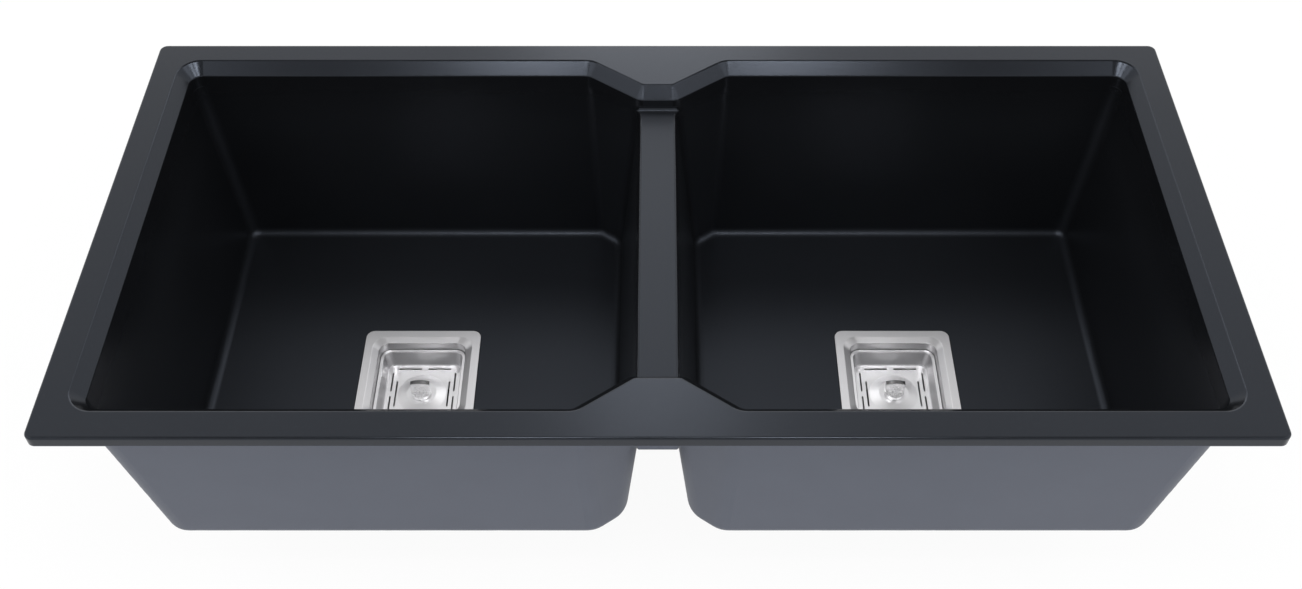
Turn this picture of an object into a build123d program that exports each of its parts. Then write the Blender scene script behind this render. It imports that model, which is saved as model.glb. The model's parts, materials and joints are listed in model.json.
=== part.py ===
"""Double bowl kitchen sink with two square strainer wastes and rim clamps, in millimetres.

The frame: X to the right, Y to the back, Z up. The origin is the middle of the worktop
cut-out, on the worktop's surface, so the rim's underside lies at z = 0.
"""

from build123d import *
import os
from math import radians, sqrt, tan

# ---- Sink body: the rim ----
sink_width = 940.0
sink_depth = 457.0
rim_thickness = 9.5
rim_corner_radius = 7.0
rim_top_round = 2.0
rim_side = 23.4
rim_rear = 22.5
rim_front = 25.5
rim_foot_round = 3.0

# ---- Sink body: the bevel that leads down into the bowls ----
bevel_width = 9.9
bevel_drop = 10.7
crest_round = 2.0
lip_round = 2.0

# ---- Sink body: the bowls ----
bowl_depth = 200.0
wall_draft = 6.4
wall_thickness = 10.0
floor_thickness = 9.0
bowl_corner_radius = 11.0
bowl_floor_round = 8.5
shell_floor_round = 15.0
cut_corner_width = 49.3
cut_corner_width_at_floor = 19.8
cut_corner_slope = 0.727
cut_corner_round = 15.0

# ---- Sink body: the low divider and the shoulders at its two ends ----
divider_width = 33.0
divider_drop = 21.7
divider_edge_round = 2.5
shoulder_reach = 57.0
shoulder_start_round = 10.0
shoulder_nose_round = 13.0
shoulder_cove_round = 4.0
shoulder_cove_width = 35.0
cove_overlap = 1.0
web_width = 32.0
web_setback = 13.0
web_hang = 24.0
web_edge_round = 2.0

# ---- Square waste: the recess and hole in each bowl's floor ----
drain_inboard = 1.0
drain_forward = 13.5
flange_size = 110.0
flange_corner_radius = 8.0
recess_clearance = 0.6
recess_depth = 1.6
floor_hole_clearance = 0.5
floor_hole_radius = 14.0

# ---- Square waste: the pressed steel well ----
sheet = 1.2
flange_land = 7.5
flange_bevel_width = 6.0
flange_bevel_drop = 2.5
mouth_radius = 10.0
ledge_drop = 12.5
ledge_width = 1.7
well_draft_per_side = 0.7
well_depth = 44.0
outlet_radius = 23.9
outlet_wall = 2.4
outlet_length = 22.0
nut_thread_step = 4.1
nut_thread_length = 17.0
outlet_thread_chamfer = 1.0

# ---- Square waste: seals, clamp cup and lock nut ----
seal_thickness = 1.0
seal_margin = 0.6
gasket_thickness = 2.0
gasket_width = 12.0
gasket_corner_radius = 24.0
cup_flange_thickness = 3.0
cup_flange_overhang = 1.0
cup_wall = 2.6
cup_well_clearance = 3.0
cup_floor_gap = 1.0
cup_floor_thickness = 3.0
thread_clearance = 0.4
washer_thickness = 1.0
washer_width = 8.0
nut_thickness = 9.0
nut_wall = 7.0
nut_lugs = 6
nut_lug_length = 6.0
nut_lug_width = 8.0

# ---- Strainer basket ----
basket_clearance = 0.5
basket_seat_gap = 0.3
basket_sheet = 0.8
basket_rim_thickness = 1.0
basket_height = 16.5
basket_wall_lean = 3.4
slot_edge_margin = 4.4
slot_corner_margin = 4.7
slot_width = 1.6
slot_gap = 5.8
inner_slot_step = 5.0
inner_slot_length = 30.0
dome_margin = 7.0
dome_slope_width = 9.0
dome_rise = 1.5

# ---- Knob, stem and stopper ----
knob_radius = 9.5
knob_base_height = 4.0
knob_bar_inset = 0.5
knob_bar_thickness = 4.6
knob_bar_height = 15.0
knob_bar_arch = 1.8
knob_edge_round = 0.6
stem_radius = 4.0
stem_clearance = 0.3
stem_neck_radius = 2.5
stopper_lap = 5.5
stopper_thickness = 4.5
stopper_hub_radius = 8.0
stopper_hub_height = 2.0
stopper_seat_gap = 0.3
stopper_plug_clearance = 2.0
stopper_plug_depth = 2.5
stopper_nut_radius = 6.0
stopper_nut_thickness = 3.0
stem_tail = 1.5

# ---- Rim clamps ----
side_clamp_y = 130.0
rear_clamp_x = 230.0
boss_width = 16.0
boss_projection = 10.5
boss_height = 24.0
boss_root = 5.0
boss_round = 3.0
clamp_axis_projection = 5.5
screw_radius = 2.5
insert_wall = 1.1
insert_length = 14.0
screw_hole_depth = 20.0
screw_reach = 45.0
screw_head_lip = 2.3
screw_head_height = 3.4
hex_socket_size = 3.0
hex_socket_depth = 2.0
clamp_sheet = 2.0
clamp_width = 11.0
clamp_reach = 29.0
clamp_toe_height = 14.0
clamp_bend_radius = 3.0
clamp_gap = 0.3
clamp_edge_chamfer = 0.8

# ---- Heights and places that follow from the sizes above ----
lip_z = rim_thickness - bevel_drop
divider_z = rim_thickness - divider_drop
bowl_floor_z = rim_thickness - bowl_depth
shell_floor_z = bowl_floor_z - floor_thickness
draft = tan(radians(wall_draft))

opening_half_width = sink_width / 2 - rim_side - bevel_width
opening_front = -sink_depth / 2 + rim_front + bevel_width
opening_rear = sink_depth / 2 - rim_rear - bevel_width
divider_half_at_lip = divider_width / 2 - (divider_drop - bevel_drop) * draft
nose_front = -sink_depth / 2 + shoulder_reach + bevel_width
nose_rear = sink_depth / 2 - shoulder_reach - bevel_width

drain_offset = (opening_half_width + divider_half_at_lip) / 2 - drain_inboard
drain_y = (opening_front + opening_rear) / 2 - drain_forward

recess_z = bowl_floor_z - recess_depth
flange_under_z = recess_z + seal_thickness
flange_z = flange_under_z + sheet
mouth_z = flange_z - flange_bevel_drop
ledge_z = flange_z - ledge_drop
well_floor_z = flange_z - well_depth
bevel_size = flange_size - 2 * flange_land
mouth_size = bevel_size - 2 * flange_bevel_width
ledge_size = mouth_size - 2 * well_draft_per_side
throat_size = ledge_size - 2 * ledge_width
well_floor_size = throat_size - 2 * well_draft_per_side
throat_radius = mouth_radius - ledge_width
floor_hole_size = bevel_size + 2 * floor_hole_clearance
gasket_size = floor_hole_size + 2 * gasket_width
cup_flange_size = gasket_size + 2 * cup_flange_overhang
outlet_bore_radius = outlet_radius - outlet_wall
nut_thread_radius = outlet_radius + nut_thread_step
nut_radius = nut_thread_radius + nut_wall
washer_radius = nut_thread_radius + washer_width
cup_floor_z = well_floor_z - sheet - cup_floor_gap
cup_flange_z = shell_floor_z - gasket_thickness
washer_z = cup_floor_z - cup_floor_thickness
nut_z = washer_z - washer_thickness
spigot_shoulder_z = well_floor_z - nut_thread_length
outlet_end_z = spigot_shoulder_z - outlet_length

basket_z = ledge_z + basket_seat_gap
basket_rim_size = ledge_size - 2 * basket_clearance
basket_top_size = throat_size - 2 * basket_clearance
basket_floor_size = basket_top_size - 2 * basket_wall_lean
basket_floor_z = basket_z - basket_height
basket_corner_radius = throat_radius - basket_clearance
slot_ring = basket_floor_size / 2 - basket_sheet - slot_edge_margin
slot_length = slot_ring - slot_gap / 2 - slot_corner_margin
inner_slot_x = slot_ring - inner_slot_step
dome_radius = slot_ring - dome_margin
dome_top_radius = dome_radius - dome_slope_width
stopper_z = well_floor_z + stopper_seat_gap
stopper_radius = outlet_bore_radius + stopper_lap
stopper_plug_radius = outlet_bore_radius - stopper_plug_clearance
knob_z = basket_floor_z + basket_sheet + dome_rise + stem_clearance
insert_radius = screw_radius + insert_wall
screw_head_radius = screw_radius + screw_head_lip
clamp_z = -screw_reach


# ---- Sink body ----
def bowl_face(height, grow=0.0):
    """One bowl's plan at a height, cut off at the corners by the divider; grow moves the walls out."""
    inset = (lip_z - height) * draft - grow
    share = (lip_z - height) / (lip_z - bowl_floor_z)
    cut_growth = (cut_corner_slope + 1 - sqrt(1 + cut_corner_slope**2)) / cut_corner_slope
    cut_x = cut_corner_width + share * (cut_corner_width_at_floor - cut_corner_width)
    cut_x += grow * cut_growth
    cut_y = cut_x * cut_corner_slope
    outer = -opening_half_width + inset
    inner = -divider_half_at_lip - inset
    front = opening_front + inset
    rear = opening_rear - inset
    corners = [
        (outer, front),
        (inner - cut_x, front),
        (inner, front + cut_y),
        (inner, rear - cut_y),
        (inner - cut_x, rear),
        (outer, rear),
    ]
    corner = bowl_corner_radius + grow
    cut = cut_corner_round + grow
    with BuildSketch(Plane.XY.offset(height)) as plan:
        with BuildLine():
            FilletPolyline(*corners, radius=[corner, cut, cut, cut, cut, corner], close=True)
        make_face()
    return plan.sketch


def opening_face(height):
    """The opening over both bowls and the divider: bevelled above the lip, drafted below it."""
    if height > lip_z:
        grow = (height - lip_z) * bevel_width / bevel_drop
    else:
        grow = (height - lip_z) * draft
    side = opening_half_width + grow
    start = -divider_half_at_lip - cut_corner_width
    normal_x = cut_corner_slope / sqrt(1 + cut_corner_slope**2)
    normal_y = 1 / sqrt(1 + cut_corner_slope**2)

    def shoulder_x(advance):
        """X of the shoulder's slanting edge, advance behind the opening's own edge."""
        return start + (grow + normal_y * (advance - grow)) / normal_x

    front = opening_front - grow
    rear = opening_rear + grow
    nose_f = nose_front - grow
    nose_r = nose_rear + grow
    begin_x = shoulder_x(0.0)
    nose_front_x = shoulder_x(nose_front - opening_front)
    nose_rear_x = shoulder_x(opening_rear - nose_rear)
    corners = [
        (-side, front),
        (begin_x, front),
        (nose_front_x, nose_f),
        (-nose_front_x, nose_f),
        (-begin_x, front),
        (side, front),
        (side, rear),
        (-begin_x, rear),
        (-nose_rear_x, nose_r),
        (nose_rear_x, nose_r),
        (begin_x, rear),
        (-side, rear),
    ]
    corner = bowl_corner_radius + grow
    begin = shoulder_start_round + grow
    nose = shoulder_nose_round - grow
    rounds = [corner, begin, nose, nose, begin, corner]
    with BuildSketch(Plane.XY.offset(height)) as plan:
        with BuildLine():
            FilletPolyline(*corners, radius=rounds + rounds, close=True)
        make_face()
    return plan.sketch


with BuildPart() as opening_space:
    bevel_top = rim_thickness + bevel_drop / 10
    loft([opening_face(lip_z), opening_face(bevel_top)], ruled=True)
    loft([opening_face(divider_z), opening_face(lip_z)], ruled=True)

with BuildPart() as bowl_space:
    loft([bowl_face(bowl_floor_z), bowl_face(divider_z)], ruled=True)
    fillet(bowl_space.faces().sort_by(Axis.Z)[0].edges(), bowl_floor_round)

with BuildPart() as bowl_shell:
    shell_top = rim_thickness / 2
    loft([bowl_face(shell_floor_z, wall_thickness), bowl_face(shell_top, wall_thickness)], ruled=True)
    fillet(bowl_shell.faces().sort_by(Axis.Z)[0].edges(), shell_floor_round)

with BuildPart() as shoulder_cove:
    cove_foot_y = nose_front + (lip_z - divider_z) * draft
    cove_end_y = cove_foot_y + shoulder_cove_round
    cove_top_z = divider_z + shoulder_cove_round
    with BuildSketch(Plane.YZ.offset(-shoulder_cove_width / 2)):
        with BuildLine():
            RadiusArc((cove_foot_y, cove_top_z), (cove_end_y, divider_z), -shoulder_cove_round)
            Polyline(
                (cove_end_y, divider_z),
                (cove_end_y, divider_z - cove_overlap),
                (cove_foot_y - cove_overlap, divider_z - cove_overlap),
                (cove_foot_y - cove_overlap, cove_top_z),
                (cove_foot_y, cove_top_z),
            )
        make_face()
    extrude(amount=shoulder_cove_width)

with BuildPart() as web:
    with BuildSketch(Plane.XY.offset(-web_hang)):
        Rectangle(web_width, sink_depth - 2 * web_setback)
    extrude(amount=web_hang + rim_thickness / 2)
    fillet(web.edges() - web.edges().group_by(Axis.Z)[-1], web_edge_round)

side_boss_x = opening_half_width + wall_thickness
rear_boss_y = opening_rear + wall_thickness
clamp_stations = {
    "left_front": ((-side_boss_x, -side_clamp_y), (-1, 0, 0), (0, 1, 0)),
    "left_rear": ((-side_boss_x, side_clamp_y), (-1, 0, 0), (0, -1, 0)),
    "right_front": ((side_boss_x, -side_clamp_y), (1, 0, 0), (0, 1, 0)),
    "right_rear": ((side_boss_x, side_clamp_y), (1, 0, 0), (0, -1, 0)),
    "rear_left": ((-rear_clamp_x, rear_boss_y), (0, 1, 0), (1, 0, 0)),
    "rear_right": ((rear_clamp_x, rear_boss_y), (0, 1, 0), (-1, 0, 0)),
}


def boss_plane(station, height):
    """A level plane at the foot of a clamp's boss, its X axis pointing away from the bowl."""
    (x, y), outward, _ = clamp_stations[station]
    return Plane(origin=(x, y, height), x_dir=outward)


def axis_plane(station, height):
    """A level plane on a clamp's screw axis."""
    foot = boss_plane(station, height)
    return Plane(origin=foot.origin + foot.x_dir * clamp_axis_projection, x_dir=foot.x_dir)


def level_edges(part, height, half_width, half_depth):
    """A part's edges at a height, within a rectangle about the origin."""
    found = part.edges().filter_by_position(Axis.Z, height - 0.01, height + 0.01)
    found = found.filter_by_position(Axis.X, -half_width, half_width)
    return found.filter_by_position(Axis.Y, -half_depth, half_depth)


with BuildPart() as sink_body:
    with BuildSketch(Plane.XY):
        RectangleRounded(sink_width, sink_depth, rim_corner_radius)
    extrude(amount=rim_thickness)
    fillet(sink_body.faces().sort_by(Axis.Z)[-1].edges(), rim_top_round)
    add(bowl_shell.part)
    add(mirror(bowl_shell.part, about=Plane.YZ))
    add(web.part)
    for station in clamp_stations:
        with BuildSketch(boss_plane(station, -boss_height)):
            with Locations(((boss_projection - boss_root) / 2, 0)):
                RectangleRounded(boss_projection + boss_root, boss_width, boss_round)
        extrude(amount=boss_height + rim_thickness / 2)
    add(opening_space.part, mode=Mode.SUBTRACT)
    add(bowl_space.part, mode=Mode.SUBTRACT)
    add(mirror(bowl_space.part, about=Plane.YZ), mode=Mode.SUBTRACT)
    divider_edges = level_edges(sink_body, divider_z, divider_width, opening_rear)
    fillet(divider_edges.filter_by(Axis.Y), divider_edge_round)
    add(shoulder_cove.part)
    add(mirror(shoulder_cove.part, about=Plane.XZ))
    crest_half_width = opening_half_width + bevel_width + crest_round
    crest_half_depth = opening_rear + bevel_width + crest_round
    fillet(level_edges(sink_body, rim_thickness, crest_half_width, crest_half_depth), crest_round)
    fillet(level_edges(sink_body, lip_z, crest_half_width, crest_half_depth), lip_round)
    wall_foot_width = side_boss_x + boss_round / 2
    wall_foot_depth = rear_boss_y + boss_round / 2
    fillet(level_edges(sink_body, 0, wall_foot_width, wall_foot_depth), rim_foot_round)
    for side in (-1, 1):
        with BuildSketch(Plane((side * drain_offset, drain_y, recess_z))):
            recess_size = flange_size + 2 * recess_clearance
            RectangleRounded(recess_size, recess_size, flange_corner_radius + recess_clearance)
        extrude(amount=2 * recess_depth, mode=Mode.SUBTRACT)
        with BuildSketch(Plane((side * drain_offset, drain_y, recess_z))):
            RectangleRounded(floor_hole_size, floor_hole_size, floor_hole_radius)
        extrude(amount=-2 * floor_thickness, mode=Mode.SUBTRACT)
    for station in clamp_stations:
        with BuildSketch(axis_plane(station, -boss_height)):
            Circle(insert_radius)
        extrude(amount=insert_length, mode=Mode.SUBTRACT)
        with BuildSketch(axis_plane(station, -boss_height)):
            Circle(screw_radius + clamp_gap)
        extrude(amount=screw_hole_depth, mode=Mode.SUBTRACT)


# ---- Square waste, one under each bowl ----
def square_face(side, height, size, radius):
    """A level square with round corners, centred on one bowl's drain."""
    with BuildSketch(Plane((side * drain_offset, drain_y, height))) as outline:
        RectangleRounded(size, size, radius)
    return outline.sketch


def square_taper(side, lower, upper, mode=Mode.ADD):
    """A solid between two such squares, each given as height, size and corner radius."""
    loft([square_face(side, *lower), square_face(side, *upper)], ruled=True, mode=mode)


def square_frame(side, height, thickness, outer, outer_radius, inner, inner_radius):
    """A flat square frame that stands on a height."""
    extrude(square_face(side, height, outer, outer_radius), thickness)
    extrude(square_face(side, height, inner, inner_radius), thickness, mode=Mode.SUBTRACT)


def drain_disc(side, height, radius, length, mode=Mode.ADD):
    """An upright cylinder on one drain's axis, from a height upwards."""
    with BuildSketch(Plane((side * drain_offset, drain_y, height))) as outline:
        Circle(radius)
    extrude(outline.sketch, length, mode=mode)


def drain_dome(side, height, mode=Mode.ADD):
    """The low hub of a basket's floor, a cone on one drain's axis, from a height upwards."""
    centre = (side * drain_offset, drain_y, height)
    with BuildSketch(Plane(centre)) as foot:
        Circle(dome_radius)
    with BuildSketch(Plane(centre).offset(dome_rise)) as head:
        Circle(dome_top_radius)
    loft([foot.sketch, head.sketch], mode=mode)


def make_drain_well(side):
    """Pressed steel well: square flange, bevelled mouth, ledge for the basket, threaded spigot."""
    wall = 2 * sheet
    with BuildPart() as drain_well:
        extrude(square_face(side, flange_under_z, flange_size, flange_corner_radius), sheet)
        square_taper(
            side,
            (mouth_z - sheet, mouth_size + wall, mouth_radius + sheet),
            (flange_under_z, bevel_size + wall, mouth_radius + sheet + flange_bevel_width / 2),
        )
        square_taper(
            side,
            (ledge_z - sheet, ledge_size + wall, mouth_radius + sheet),
            (mouth_z - sheet, mouth_size + wall, mouth_radius + sheet),
        )
        square_taper(
            side,
            (well_floor_z - sheet, well_floor_size + wall, throat_radius + sheet),
            (ledge_z - sheet, throat_size + wall, throat_radius + sheet),
        )
        drain_disc(side, spigot_shoulder_z, nut_thread_radius, well_floor_z - spigot_shoulder_z)
        drain_disc(side, outlet_end_z, outlet_radius, outlet_length)
        outlet_rim = drain_well.edges().group_by(Axis.Z)[0]
        chamfer(outlet_rim, outlet_thread_chamfer)
        square_taper(
            side,
            (mouth_z, mouth_size, mouth_radius),
            (flange_z, bevel_size, mouth_radius + flange_bevel_width / 2),
            mode=Mode.SUBTRACT,
        )
        square_taper(
            side,
            (ledge_z, ledge_size, mouth_radius),
            (mouth_z, mouth_size, mouth_radius),
            mode=Mode.SUBTRACT,
        )
        square_taper(
            side,
            (well_floor_z, well_floor_size, throat_radius),
            (ledge_z, throat_size, throat_radius),
            mode=Mode.SUBTRACT,
        )
        bore_length = well_floor_z - outlet_end_z
        drain_disc(side, outlet_end_z, outlet_bore_radius, bore_length, mode=Mode.SUBTRACT)
    return drain_well.part


def make_flange_seal(side):
    """Rubber frame between the flange and the floor's recess."""
    seal_outer = flange_size - 2 * seal_margin
    seal_inner = bevel_size + 2 * sheet + 2 * seal_margin
    with BuildPart() as flange_seal:
        square_frame(
            side,
            recess_z,
            seal_thickness,
            seal_outer,
            flange_corner_radius,
            seal_inner,
            floor_hole_radius + seal_margin,
        )
    return flange_seal.part


def make_floor_gasket(side):
    """Rubber frame between the bowl's floor and the clamp cup."""
    with BuildPart() as floor_gasket:
        square_frame(
            side,
            cup_flange_z,
            gasket_thickness,
            gasket_size,
            gasket_corner_radius,
            floor_hole_size + 2 * seal_margin,
            floor_hole_radius,
        )
    return floor_gasket.part


def make_clamp_cup(side):
    """Moulded cup round the well, drawn up against the gasket by the lock nut."""
    cup_inner = mouth_size + 2 * sheet + 2 * cup_well_clearance
    cup_outer = cup_inner + 2 * cup_wall
    cup_radius = mouth_radius + sheet + cup_well_clearance
    with BuildPart() as clamp_cup:
        flange_low_z = cup_flange_z - cup_flange_thickness
        flange_face = square_face(side, flange_low_z, cup_flange_size, gasket_corner_radius)
        extrude(flange_face, cup_flange_thickness)
        square_taper(
            side,
            (washer_z, cup_outer - 2 * cup_wall, cup_radius),
            (flange_low_z, cup_outer, cup_radius + cup_wall),
        )
        square_taper(
            side,
            (cup_floor_z, cup_inner - 2 * cup_wall, cup_radius - cup_wall),
            (cup_flange_z, cup_inner, cup_radius),
            mode=Mode.SUBTRACT,
        )
        bore = nut_thread_radius + thread_clearance
        drain_disc(side, washer_z, bore, cup_floor_thickness, mode=Mode.SUBTRACT)
    return clamp_cup.part


def make_slip_washer(side):
    """Thin washer that lets the lock nut turn against the cup."""
    with BuildPart() as slip_washer:
        drain_disc(side, nut_z, washer_radius, washer_thickness)
        bore = nut_thread_radius + thread_clearance
        drain_disc(side, nut_z, bore, washer_thickness, mode=Mode.SUBTRACT)
    return slip_washer.part


def make_lock_nut(side):
    """Round nut with lugs for a spanner, on the spigot's upper thread."""
    nut_low_z = nut_z - nut_thickness
    with BuildPart() as lock_nut:
        drain_disc(side, nut_low_z, nut_radius, nut_thickness)
        with BuildSketch(Plane((side * drain_offset, drain_y, nut_low_z))):
            with PolarLocations(nut_radius, nut_lugs):
                RectangleRounded(2 * nut_lug_length, nut_lug_width, nut_lug_width / 4)
        extrude(amount=nut_thickness)
        drain_disc(side, nut_low_z, nut_thread_radius, nut_thickness, mode=Mode.SUBTRACT)
    return lock_nut.part


def make_basket(side):
    """Square pressed basket with a slotted floor and a raised hub for the stem."""
    top_in = basket_top_size - 2 * basket_sheet
    floor_in = basket_floor_size - 2 * basket_sheet
    radius_in = basket_corner_radius - basket_sheet
    rim_radius = mouth_radius - basket_clearance
    slot_centre = (slot_gap + slot_length) / 2
    floor_plane = Plane((side * drain_offset, drain_y, basket_floor_z))
    with BuildPart() as basket:
        extrude(square_face(side, basket_z, basket_rim_size, rim_radius), basket_rim_thickness)
        square_taper(
            side,
            (basket_floor_z, basket_floor_size, basket_corner_radius),
            (basket_z, basket_top_size, basket_corner_radius),
        )
        fillet(basket.faces().sort_by(Axis.Z)[0].edges(), 2 * basket_sheet)
        square_taper(
            side,
            (basket_floor_z + basket_sheet, floor_in, radius_in),
            (basket_z + basket_rim_thickness, top_in, radius_in),
            mode=Mode.SUBTRACT,
        )
        drain_dome(side, basket_floor_z + basket_sheet)
        drain_dome(side, basket_floor_z, mode=Mode.SUBTRACT)
        stem_hole = stem_radius + stem_clearance
        drain_disc(side, basket_floor_z, stem_hole, 2 * dome_rise, mode=Mode.SUBTRACT)
        for quarter in range(4):
            with BuildSketch(floor_plane.rotated((0, 0, 90 * quarter))):
                with Locations((-slot_centre, slot_ring), (slot_centre, slot_ring)):
                    SlotOverall(slot_length, slot_width)
            extrude(amount=2 * basket_sheet, mode=Mode.SUBTRACT)
        with BuildSketch(floor_plane.rotated((0, 0, 90))):
            with Locations((0, inner_slot_x), (0, -inner_slot_x)):
                SlotOverall(inner_slot_length, slot_width)
        extrude(amount=2 * basket_sheet, mode=Mode.SUBTRACT)
    return basket.part


def make_knob(side):
    """Round foot with an upright pinch bar, gripped to lift the basket or the stopper."""
    bar_plane = Plane((side * drain_offset, drain_y, knob_z), x_dir=(1, 0, 0), z_dir=(0, -1, 0))
    half_bar = knob_radius - knob_bar_inset
    with BuildPart() as knob:
        drain_disc(side, knob_z, knob_radius, knob_base_height)
        with BuildSketch(bar_plane):
            with BuildLine():
                Polyline(
                    (half_bar, knob_bar_height),
                    (half_bar, 0),
                    (-half_bar, 0),
                    (-half_bar, knob_bar_height),
                )
                ThreePointArc(
                    (-half_bar, knob_bar_height),
                    (0, knob_bar_height + knob_bar_arch),
                    (half_bar, knob_bar_height),
                )
            make_face()
        extrude(amount=knob_bar_thickness / 2, both=True)
        fillet(knob.edges().group_by(Axis.Z)[-1], knob_edge_round)
    return knob.part


def make_stem(side):
    """Stem from the knob down through the basket's hub and the stopper."""
    shoulder_z = stopper_z + stopper_thickness + stopper_hub_height
    tail_z = stopper_z - stopper_plug_depth - stopper_nut_thickness - stem_tail
    with BuildPart() as stem:
        drain_disc(side, shoulder_z, stem_radius, knob_z - shoulder_z)
        drain_disc(side, tail_z, stem_neck_radius, shoulder_z - tail_z)
    return stem.part


def make_stopper(side):
    """Rubber stopper that lies over the outlet, with a short plug that centres it."""
    with BuildPart() as stopper:
        drain_disc(side, stopper_z, stopper_radius, stopper_thickness)
        hub_z = stopper_z + stopper_thickness
        drain_disc(side, hub_z, stopper_hub_radius, stopper_hub_height)
        plug_z = stopper_z - stopper_plug_depth
        drain_disc(side, plug_z, stopper_plug_radius, stopper_plug_depth)
        fillet(stopper.edges().group_by(Axis.Z)[-1], stopper_hub_height / 2)
        chamfer(stopper.edges().group_by(Axis.Z)[0], stopper_plug_depth / 2)
        whole = stopper_plug_depth + stopper_thickness + stopper_hub_height
        drain_disc(side, plug_z, stem_neck_radius, whole, mode=Mode.SUBTRACT)
    return stopper.part


def make_stopper_nut(side):
    """Hexagon nut that holds the stopper on the stem."""
    low_z = stopper_z - stopper_plug_depth - stopper_nut_thickness
    with BuildPart() as stopper_nut:
        with BuildSketch(Plane((side * drain_offset, drain_y, low_z))):
            RegularPolygon(stopper_nut_radius, 6)
            Circle(stem_neck_radius, mode=Mode.SUBTRACT)
        extrude(amount=stopper_nut_thickness)
    return stopper_nut.part


# ---- Rim clamps ----
def make_clamp(station):
    """Bent steel clamp, parked along the bowl's wall, with its toe turned up to the worktop."""
    parked = clamp_stations[station][2]
    level = Plane(origin=axis_plane(station, clamp_z).origin, x_dir=parked)
    profile = Plane(origin=level.origin, x_dir=level.x_dir, z_dir=-level.y_dir)
    heel = clamp_width / 2
    with BuildPart() as clamp:
        with BuildSketch(profile):
            with BuildLine():
                FilletPolyline(
                    (-heel, clamp_sheet),
                    (-heel, 0),
                    (clamp_reach, 0),
                    (clamp_reach, clamp_toe_height),
                    (clamp_reach - clamp_sheet, clamp_toe_height),
                    (clamp_reach - clamp_sheet, clamp_sheet),
                    radius=[0, 0, clamp_bend_radius, 0, 0, clamp_bend_radius - clamp_sheet],
                    close=True,
                )
            make_face()
        extrude(amount=clamp_width / 2, both=True)
        heel_edges = clamp.edges().filter_by(Axis.Z).sort_by(
            lambda edge: (edge.center() - level.origin).dot(level.x_dir)
        )
        fillet(heel_edges[:2], clamp_width / 2.5)
        toe_edges = clamp.edges().group_by(Axis.Z)[-1]
        chamfer(toe_edges, clamp_edge_chamfer)
        with BuildSketch(level):
            Circle(screw_radius + clamp_gap)
        extrude(amount=clamp_sheet, mode=Mode.SUBTRACT)
    return clamp.part


with BuildPart() as clamp_inserts:
    for station in clamp_stations:
        with BuildSketch(axis_plane(station, -boss_height)):
            Circle(insert_radius)
            Circle(screw_radius, mode=Mode.SUBTRACT)
        extrude(amount=insert_length)

with BuildPart() as clamp_screws:
    head_z = clamp_z - clamp_gap
    for station in clamp_stations:
        with BuildSketch(axis_plane(station, head_z)):
            Circle(screw_radius)
        extrude(amount=-head_z - boss_height + screw_hole_depth - screw_radius)
        with BuildSketch(axis_plane(station, head_z - screw_head_height)):
            Circle(screw_head_radius)
        extrude(amount=screw_head_height)
        with BuildSketch(axis_plane(station, head_z - screw_head_height)):
            RegularPolygon(hex_socket_size, 6)
        extrude(amount=hex_socket_depth, mode=Mode.SUBTRACT)


# ---- Files ----
def save(part, name):
    """Label one piece and write it."""
    part.label = name
    export_step(part, f"parts/{name}.step")


os.makedirs("parts", exist_ok=True)
save(sink_body.part, "sink_body")
drain_pieces = {
    "drain_well": make_drain_well,
    "flange_seal": make_flange_seal,
    "floor_gasket": make_floor_gasket,
    "clamp_cup": make_clamp_cup,
    "slip_washer": make_slip_washer,
    "lock_nut": make_lock_nut,
    "basket": make_basket,
    "knob": make_knob,
    "stem": make_stem,
    "stopper": make_stopper,
    "stopper_nut": make_stopper_nut,
}
for side, bowl in ((-1, "left"), (1, "right")):
    for piece, make in drain_pieces.items():
        save(make(side), f"{bowl}_{piece}")
for station in clamp_stations:
    save(make_clamp(station), f"rim_clamp_{station}")
save(clamp_inserts.part, "clamp_inserts")
save(clamp_screws.part, "clamp_screws")
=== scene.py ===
"""Double bowl kitchen sink: finishes, fine detail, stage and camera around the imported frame."""

import json
import math

import bpy
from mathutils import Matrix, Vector


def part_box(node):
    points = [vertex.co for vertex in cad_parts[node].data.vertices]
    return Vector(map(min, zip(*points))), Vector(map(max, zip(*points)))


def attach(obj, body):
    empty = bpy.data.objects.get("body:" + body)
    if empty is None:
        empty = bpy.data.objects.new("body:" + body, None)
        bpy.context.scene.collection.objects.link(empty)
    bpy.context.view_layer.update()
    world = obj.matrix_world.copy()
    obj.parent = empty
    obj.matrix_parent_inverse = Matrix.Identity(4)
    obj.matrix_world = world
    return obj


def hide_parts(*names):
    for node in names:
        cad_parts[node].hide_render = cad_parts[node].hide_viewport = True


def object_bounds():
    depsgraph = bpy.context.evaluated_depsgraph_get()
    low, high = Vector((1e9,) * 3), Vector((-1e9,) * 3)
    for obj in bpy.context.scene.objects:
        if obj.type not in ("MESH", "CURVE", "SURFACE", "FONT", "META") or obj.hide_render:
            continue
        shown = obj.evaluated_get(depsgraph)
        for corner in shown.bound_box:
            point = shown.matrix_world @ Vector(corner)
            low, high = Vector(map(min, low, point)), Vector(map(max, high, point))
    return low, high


bl_info = {
    "name": "Double Bowl Sink",
    "version": (1, 0, 0),
    "blender": (4, 5, 0),
    "location": "View3D > Sidebar > Sink",
    "description": "Finishes and details a double bowl kitchen sink around its fixed frame",
    "category": "Object",
}

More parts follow.
